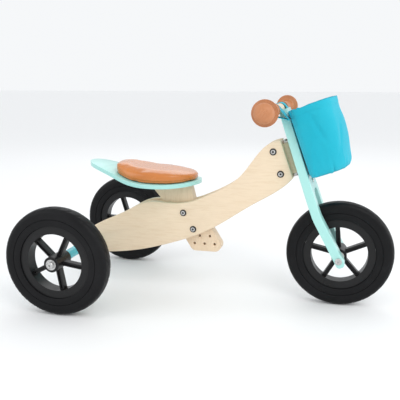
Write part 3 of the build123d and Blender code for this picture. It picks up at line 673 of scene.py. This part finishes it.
def sewSeam(piece):
    # the groove where the top cover meets the side band, at one height above the shell
    c = cushionShape
    lowest = {}
    places = [vert.co.copy() for vert in piece.data.vertices]
    normals = [vert.normal.copy() for vert in piece.data.vertices]
    for place in places:
        key = round(place.x / c["bin"])
        lowest[key] = min(lowest.get(key, 1.0), place.z)
    for place, normal in zip(places, normals):
        along = place.x / c["bin"]
        key = int(along // 1)
        here, after = lowest.get(key), lowest.get(key + 1)
        if here is None or after is None or abs(normal.z) > c["flatNormal"]:
            continue
        base = here + (after - here) * (along - key)
        place -= normal * c["seamDepth"] * exp(-((place.z - base - c["seamUp"]) / c["seamHalf"]) ** 2)
    piece.data.vertices.foreach_set("co", [number for place in places for number in place])


def makeCushion():
    c = cushionShape
    piece = nodes["seat_cushion"].copy()
    piece.data = nodes["seat_cushion"].data.copy()
    piece.name = "cushionLeather"
    piece.parent = None
    for key in list(piece.keys()):
        del piece[key]
    bpy.context.scene.collection.objects.link(piece)
    editAll(piece)
    bpy.ops.mesh.remove_doubles(threshold=0.00002)
    bpy.ops.mesh.normals_make_consistent(inside=False)
    leaveEdit()
    piece.data.remesh_voxel_size = c["voxel"]
    pickOnly(piece)
    bpy.ops.object.voxel_remesh()
    applyModifier(piece, "SMOOTH", "roundOver", factor=0.5, iterations=c["round"])
    rest = [v.co.copy() for v in piece.data.vertices]
    cloth = piece.modifiers.new("stuffing", "CLOTH")
    cloth.settings.quality = 6
    cloth.settings.mass = 0.25
    cloth.settings.tension_stiffness = 28
    cloth.settings.compression_stiffness = 28
    cloth.settings.shear_stiffness = 18
    cloth.settings.bending_stiffness = 2.5
    cloth.settings.use_pressure = True
    cloth.settings.uniform_pressure_force = c["pressure"]
    cloth.settings.effector_weights.gravity = 0
    scene = bpy.context.scene
    for step in range(1, c["frames"] + 1):
        scene.frame_set(step)
    grown = piece.evaluated_get(bpy.context.evaluated_depsgraph_get()).to_mesh()
    moved = [v.co.copy() for v in grown.vertices]
    piece.modifiers.remove(cloth)
    scene.frame_set(1)
    for vert, start, end in zip(piece.data.vertices, rest, moved):
        shift = end - start
        if shift.length > c["cap"]:
            shift = shift.normalized() * c["cap"]
        vert.co = start + shift
    applyModifier(piece, "SMOOTH", "settled", factor=0.5, iterations=c["settle"])
    applyModifier(piece, "SUBSURF", "smoothCover", levels=2, render_levels=2)
    sewSeam(piece)
    pickOnly(piece)
    bpy.ops.object.shade_smooth()
    piece.data.materials.clear()
    piece.data.materials.append(looks["leather"])
    return piece


cushion = makeCushion()
standsFor(cushion, "frame", "cushion_brown", "seat_cushion")
print("cushion: done,", len(cushion.data.polygons), "faces")


# ---- bag: one lofted canvas shell with a hem, gathers and foot darts

bagShape = {"back": 0.0350, "halfWidth": 0.074, "footHalf": 0.070, "depth": 0.102, "footDepth": 0.090,
            "corner": 0.020, "frontCorner": 0.034, "bow": 0.009, "bottom": -0.036, "rim": 0.116, "around": 200,
            "rows": 46, "wall": 0.0011, "hem": 0.015, "gather": 0.0105,
            "creases": ((0.30, 0.10, 0.014, -0.0030, 0.35, 0.85), (0.36, 0.16, 0.010, 0.0022, 0.42, 0.9),
                        (0.62, -0.14, 0.014, -0.0028, 0.2, 0.7), (0.72, 0.10, 0.012, -0.0026, 0.4, 0.92),
                        (0.78, -0.10, 0.012, 0.0020, 0.15, 0.6), (0.50, 0.05, 0.016, -0.0020, 0.45, 0.95)),
            "darts": (0.20, 0.29, 0.38, 0.46, 0.54, 0.62, 0.71, 0.80)}


def bagOutline(depth, half):
    # closed plan from the middle of the back, forward and across, evenly spaced by length
    b = bagShape
    back = b["back"] + 0.0012
    half -= 0.0012
    front = back + depth - 0.0024
    cornerAt = front - b["bow"]
    fine = [(back, (half - b["corner"]) * k / 20) for k in range(20)]
    for k in range(16):
        t = pi / 2 * k / 16
        fine.append((back + b["corner"] * (1 - cos(t)), half - b["corner"] + b["corner"] * sin(t)))
    for k in range(12):
        fine.append((back + b["corner"] + (cornerAt - b["frontCorner"] - back - b["corner"]) * k / 12, half))
    for k in range(20):
        t = radians(60) * k / 20
        forward = cornerAt - b["frontCorner"] + b["frontCorner"] * sin(t) * 1.08
        fine.append((forward, half - b["frontCorner"] * (1 - cos(t))))
    lastForward, lastSide = fine[-1]
    for k in range(1, 41):
        t = k / 40
        fine.append((lastForward + (front - lastForward) * (1 - (1 - t) ** 2.1), lastSide * (1 - t)))
    ring = fine + [(f, -side) for f, side in reversed(fine[1:-1])]
    lengths = [0.0]
    for one, two in zip(ring, ring[1:] + ring[:1]):
        lengths.append(lengths[-1] + hypot(two[0] - one[0], two[1] - one[1]))
    count, index, result = b["around"], 0, []
    for k in range(count):
        want = lengths[-1] * k / count
        while lengths[index + 1] < want:
            index += 1
        share = (want - lengths[index]) / max(1e-9, lengths[index + 1] - lengths[index])
        one, two = ring[index], ring[(index + 1) % len(ring)]
        result.append((one[0] + (two[0] - one[0]) * share, one[1] + (two[1] - one[1]) * share))
    return result, lengths[-1]


def foldLine(across, up, place, slope, wide, deep, fromUp, toUp):
    # one soft diagonal crease in the hanging cloth
    if not fromUp < up < toUp:
        return 0.0
    fade = sin(pi * (up - fromUp) / (toUp - fromUp))
    return deep * fade * exp(-((across - place - slope * (up - 0.5)) / wide) ** 2)


def bagWallPoint(plans, around, height):
    # height runs 0 at the foot to 1 at the rim
    b = bagShape
    foot, rim = plans
    (footForward, footSide), (rimForward, rimSide) = foot[around], rim[around]
    forward = footForward + (rimForward - footForward) * height
    side = footSide + (rimSide - footSide) * height
    tall = b["rim"] - b["bottom"]
    up = b["bottom"] + tall * height
    band = (1 - height) * tall
    centre = b["back"] + b["depth"] * 0.45
    out = Vector((forward - centre, side)).normalized()
    facing = max(0.0, min(1.0, (forward - b["back"] - 0.004) / 0.03))
    across = around / b["around"]
    # the front hangs slack: a broad belly low down, pulled in under the hem
    belly = 0.0062 * sin(pi * min(1.0, height * 1.02)) ** 1.3 * (1.25 - 0.7 * height)
    push = facing * (belly - 0.0012 * exp(-((height - 0.80) / 0.09) ** 2))
    push += facing * noise.noise(Vector((forward * 15, side * 15, up * 9))) * 0.0034 * sin(pi * height) ** 0.6
    ripple = noise.noise(Vector((forward * 40 + 7, side * 40, up * 22)))
    push += facing * ripple * 0.0010 * sin(pi * height) ** 0.5
    for crease in b["creases"]:
        push += facing * foldLine(across, height, *crease)
    # the foot is sewn to a flat floor: it rolls under and puckers at the darts
    push -= 0.0058 * max(0.0, 1 - height / 0.085) ** 2
    for place in b["darts"]:
        push -= facing * 0.0034 * exp(-((across - place) / 0.006) ** 2) * exp(-(height / 0.12) ** 2)
        push += facing * 0.0016 * exp(-((across - place - 0.016) / 0.010) ** 2) * exp(-(height / 0.15) ** 2)
    # hem: a doubled band above a stitched groove
    push += -0.0011 * exp(-((band - b["hem"]) / 0.0014) ** 2) + (0.0006 if band < b["hem"] else 0.0)
    # the back rim is gathered on elastic
    if facing < 1:
        ruffle = sin(side / b["gather"] * 2 * pi)
        near = exp(-(band / 0.022) ** 2) * (1 - facing)
        push += (ruffle * 0.0016 - 0.0002) * near
        up -= 0.0036 * near * (0.5 + 0.5 * cos(side / b["gather"] * 2 * pi + 0.6))
    up -= 0.0030 * facing * exp(-(band / 0.03) ** 2) * (1 - (side / 0.08) ** 2)
    return steered(forward + out.x * push, side + out.y * push, up)


def makeBag():
    b = bagShape
    foot, footRound = bagOutline(b["footDepth"], b["footHalf"])
    rim, rimRound = bagOutline(b["depth"], b["halfWidth"])
    count, rows = b["around"], b["rows"]
    heights = [0, 0.012, 0.03, 0.055]
    heights += [0.055 + (0.875 - 0.055) * k / (rows - 14) for k in range(1, rows - 13)]
    heights += [0.875 + 0.125 * k / 9 for k in range(1, 10)]
    points = [bagWallPoint((foot, rim), k, h) for h in heights for k in range(count)]
    faces = []
    for row in range(len(heights) - 1):
        for k in range(count):
            n = (k + 1) % count
            faces.append((row * count + k, row * count + n, (row + 1) * count + n, (row + 1) * count + k))
    # floor of the bag: rings drawn in to the middle
    middle = (b["back"] + b["footDepth"] * 0.5, 0.0)
    rings = [0.94, 0.85, 0.68, 0.45, 0.22]
    start = len(points)
    for step in rings:
        for k in range(count):
            f, s = foot[k]
            f, s = middle[0] + (f - middle[0]) * step, middle[1] + (s - middle[1]) * step
            points.append(steered(f, s, b["bottom"] + 0.0008 + 0.0010 * (1 - step)))
    previous = 0
    for ring in range(len(rings)):
        base = start + ring * count
        for k in range(count):
            n = (k + 1) % count
            faces.append((previous + n, previous + k, base + k, base + n))
        previous = base
    points.append(steered(middle[0], middle[1], b["bottom"] + 0.0018))
    last = len(points) - 1
    for k in range(count):
        faces.append((previous + (k + 1) % count, previous + k, last))
    mesh = bpy.data.meshes.new("bagCanvas")
    mesh.from_pydata(points, [], faces)
    layout = mesh.uv_layers.new(name="cloth")
    tall = b["rim"] - b["bottom"]
    for poly in mesh.polygons:
        ks = [mesh.loops[i].vertex_index for i in poly.loop_indices]
        for loop, v in zip(poly.loop_indices, ks):
            if max(ks) < start:
                k, row = v % count, v // count
                if k == 0 and any(x % count == count - 1 for x in ks):
                    k = count
                layout.data[loop].uv = (rimRound * k / count, tall * heights[row])
            else:
                p = points[v] - headPoint
                layout.data[loop].uv = (p.dot(forwardAxis), p.y)
    piece = bpy.data.objects.new("bagCanvas", mesh)
    bpy.context.scene.collection.objects.link(piece)
    applyModifier(piece, "SOLIDIFY", "cloth", thickness=b["wall"], offset=-1)
    pickOnly(piece)
    bpy.ops.object.shade_smooth()
    piece.data.materials.append(looks["canvas"])
    standsFor(piece, "steering", "bag_fabric", "bag")
    return piece, rimRound, footRound


bagPiece, rimRound, footRound = makeBag()
print("bag: done")


# ---- bag straps: doubled webbing over the bar

strapShape = {"width": 0.030, "offset": 0.058, "thick": 0.0013, "clear": 0.0007, "barRadius": 0.011,
              "stitchUp": 0.098, "stitchForward": 0.0341, "round": 40}


def strapPath():
    # forward and up of the loop's middle line, round the bar and down to the stitched ends
    s = strapShape
    centre = Vector((gripShape["barForward"], gripShape["barUp"]))
    end = Vector((s["stitchForward"] - 0.0010, s["stitchUp"]))
    radius = s["barRadius"] + s["clear"] + s["thick"] / 2
    reach = end - centre
    base = atan2(reach.y, reach.x)
    half = asin(radius / reach.length)
    touch = pi / 2 - half
    path = []
    for k in range(8):
        t = k / 8
        a = base + touch
        tangent = centre + Vector((cos(a), sin(a))) * radius
        path.append(end + (tangent - end) * t)
    for k in range(s["round"] + 1):
        a = base + touch + (2 * pi - 2 * touch) * k / s["round"]
        path.append(centre + Vector((cos(a), sin(a))) * radius)
    for k in range(1, 9):
        t = k / 8
        a = base - touch
        tangent = centre + Vector((cos(a), sin(a))) * radius
        path.append(tangent + (end - tangent) * t)
    return path


def makeStrap(name, node, side):
    s = strapShape
    path = strapPath()
    cols = 10
    points, faces = [], []
    length = 0.0
    lengths = [0.0]
    for a, b in zip(path, path[1:]):
        length += (b - a).length
        lengths.append(length)
    for i, place in enumerate(path):
        for c in range(cols + 1):
            across = (c / cols - 0.5) * s["width"]
            ripple = 0.0003 * sin(lengths[i] * 260 + across * 90)
            points.append(steered(place.x, side * s["offset"] + across, place.y + ripple))
    for i in range(len(path) - 1):
        for c in range(cols):
            a = i * (cols + 1) + c
            faces.append((a, a + 1, a + cols + 2, a + cols + 1))
    mesh = bpy.data.meshes.new(name)
    mesh.from_pydata(points, [], faces)
    layout = mesh.uv_layers.new(name="cloth")
    for poly in mesh.polygons:
        for loop in poly.loop_indices:
            v = mesh.loops[loop].vertex_index
            layout.data[loop].uv = (s["width"] * (v % (cols + 1)) / cols, lengths[v // (cols + 1)])
    piece = bpy.data.objects.new(name, mesh)
    bpy.context.scene.collection.objects.link(piece)
    applyModifier(piece, "SOLIDIFY", "webbing", thickness=s["thick"], offset=0)
    applyModifier(piece, "BEVEL", "softEdge", width=0.0003, segments=2, limit_method="ANGLE",
                  angle_limit=radians(50))
    pickOnly(piece)
    bpy.ops.object.shade_smooth_by_angle(angle=radians(50))
    piece.data.materials.append(looks["canvas"])
    standsFor(piece, "steering", "bag_fabric", node)


makeStrap("strapRight", "bag_strap_right", -1)
makeStrap("strapLeft", "bag_strap_left", 1)
print("straps: done")


# ---- frame bolts: domed steel heads with a hexagon socket; a thin black disc under each head is painted shadow, and the head's outer band and socket are painted shade

# collar sizes the thin black disc round each head, a painted shadow ring
boltShape = {"collar": 0.0078, "ringShadowThick": 0.0009, "head": 0.0064, "headThick": 0.0030, "socket": 0.0029,
             "socketDeep": 0.0022,
             "bright": 0.0050}


def boltHead(name):
    b = boltShape
    bpy.ops.object.select_all(action="DESELECT")
    bpy.ops.mesh.primitive_cylinder_add(vertices=48, radius=b["head"], depth=b["headThick"],
                                        location=(0, 0, b["headThick"] / 2))
    piece = bpy.context.object
    piece.name = name
    bpy.ops.object.transform_apply(location=True, rotation=True, scale=True)
    applyModifier(piece, "BEVEL", "dome", width=0.0017, segments=5, limit_method="ANGLE",
                  angle_limit=radians(60))
    bpy.ops.object.select_all(action="DESELECT")
    bpy.ops.mesh.primitive_cylinder_add(vertices=6, radius=b["socket"], depth=b["socketDeep"] * 2,
                                        location=(0, 0, b["headThick"]))
    cutter = bpy.context.object
    bpy.ops.object.transform_apply(location=True, rotation=True, scale=True)
    applyModifier(piece, "BOOLEAN", "socket", object=cutter, operation="DIFFERENCE", solver="EXACT")
    bpy.data.objects.remove(cutter)
    pickOnly(piece)
    bpy.ops.object.shade_smooth_by_angle(angle=radians(35))
    piece.data.materials.append(looks["zinc"])
    piece.data.materials.append(looks["paintedShadeBlack"])
    # faces in the hexagon socket and on the dome's outer band take the near-black: painted shade in the recess
    # and on the rolled rim
    for face in piece.data.polygons:
        c = face.center
        inSocket = hypot(c.x, c.y) < b["socket"] * 0.99 and c.z < b["headThick"] - 0.0001
        if inSocket or hypot(c.x, c.y) > b["bright"]:
            face.material_index = 1
    return piece


def boltCollar(name):
    # a thin black disc that stands in for the shadow ring round each bolt head: painted shadow
    b = boltShape
    bpy.ops.object.select_all(action="DESELECT")
    bpy.ops.mesh.primitive_cylinder_add(vertices=48, radius=b["collar"], depth=b["ringShadowThick"],
                                        location=(0, 0, b["ringShadowThick"] / 2))
    piece = bpy.context.object
    piece.name = name
    bpy.ops.object.transform_apply(location=True, rotation=True, scale=True)
    applyModifier(piece, "BEVEL", "edge", width=0.0004, segments=2, limit_method="ANGLE",
                  angle_limit=radians(60))
    bpy.ops.object.shade_smooth_by_angle(angle=radians(35))
    piece.data.materials.append(looks["paintedShadeBlack"])
    return piece


def copyTo(source, name, place, axis):
    piece = source.copy()
    piece.data = source.data.copy()
    piece.name = name
    bpy.context.scene.collection.objects.link(piece)
    turn = Vector((0, 0, 1)).rotation_difference(axis).to_matrix().to_4x4()
    piece.data.transform(Matrix.Translation(place) @ turn)
    return piece


def makeBolts():
    head, collar = boltHead("boltPattern"), boltCollar("ringShadowPattern")
    for group in ("head", "post"):
        low, high = (Vector(corner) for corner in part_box(group + "_bolts"))
        half = 0.0062
        places = ((low.x + half, high.z - half), (high.x - half, low.z + half))
        for number, (x, z) in enumerate(places):
            for sideName, side in (("Right", -1), ("Left", 1)):
                for kind, source, lift in (("Bolt", head, 0.0002), ("Collar", collar, 0.0)):
                    name = group + kind + sideName + str(number)
                    piece = copyTo(source, name, Vector((x, side * (0.0300 + lift), z)), Vector((0, side, 0)))
                    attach(piece, "frame")
    bpy.data.objects.remove(head)
    bpy.data.objects.remove(collar)


makeBolts()
print("bolts: done")
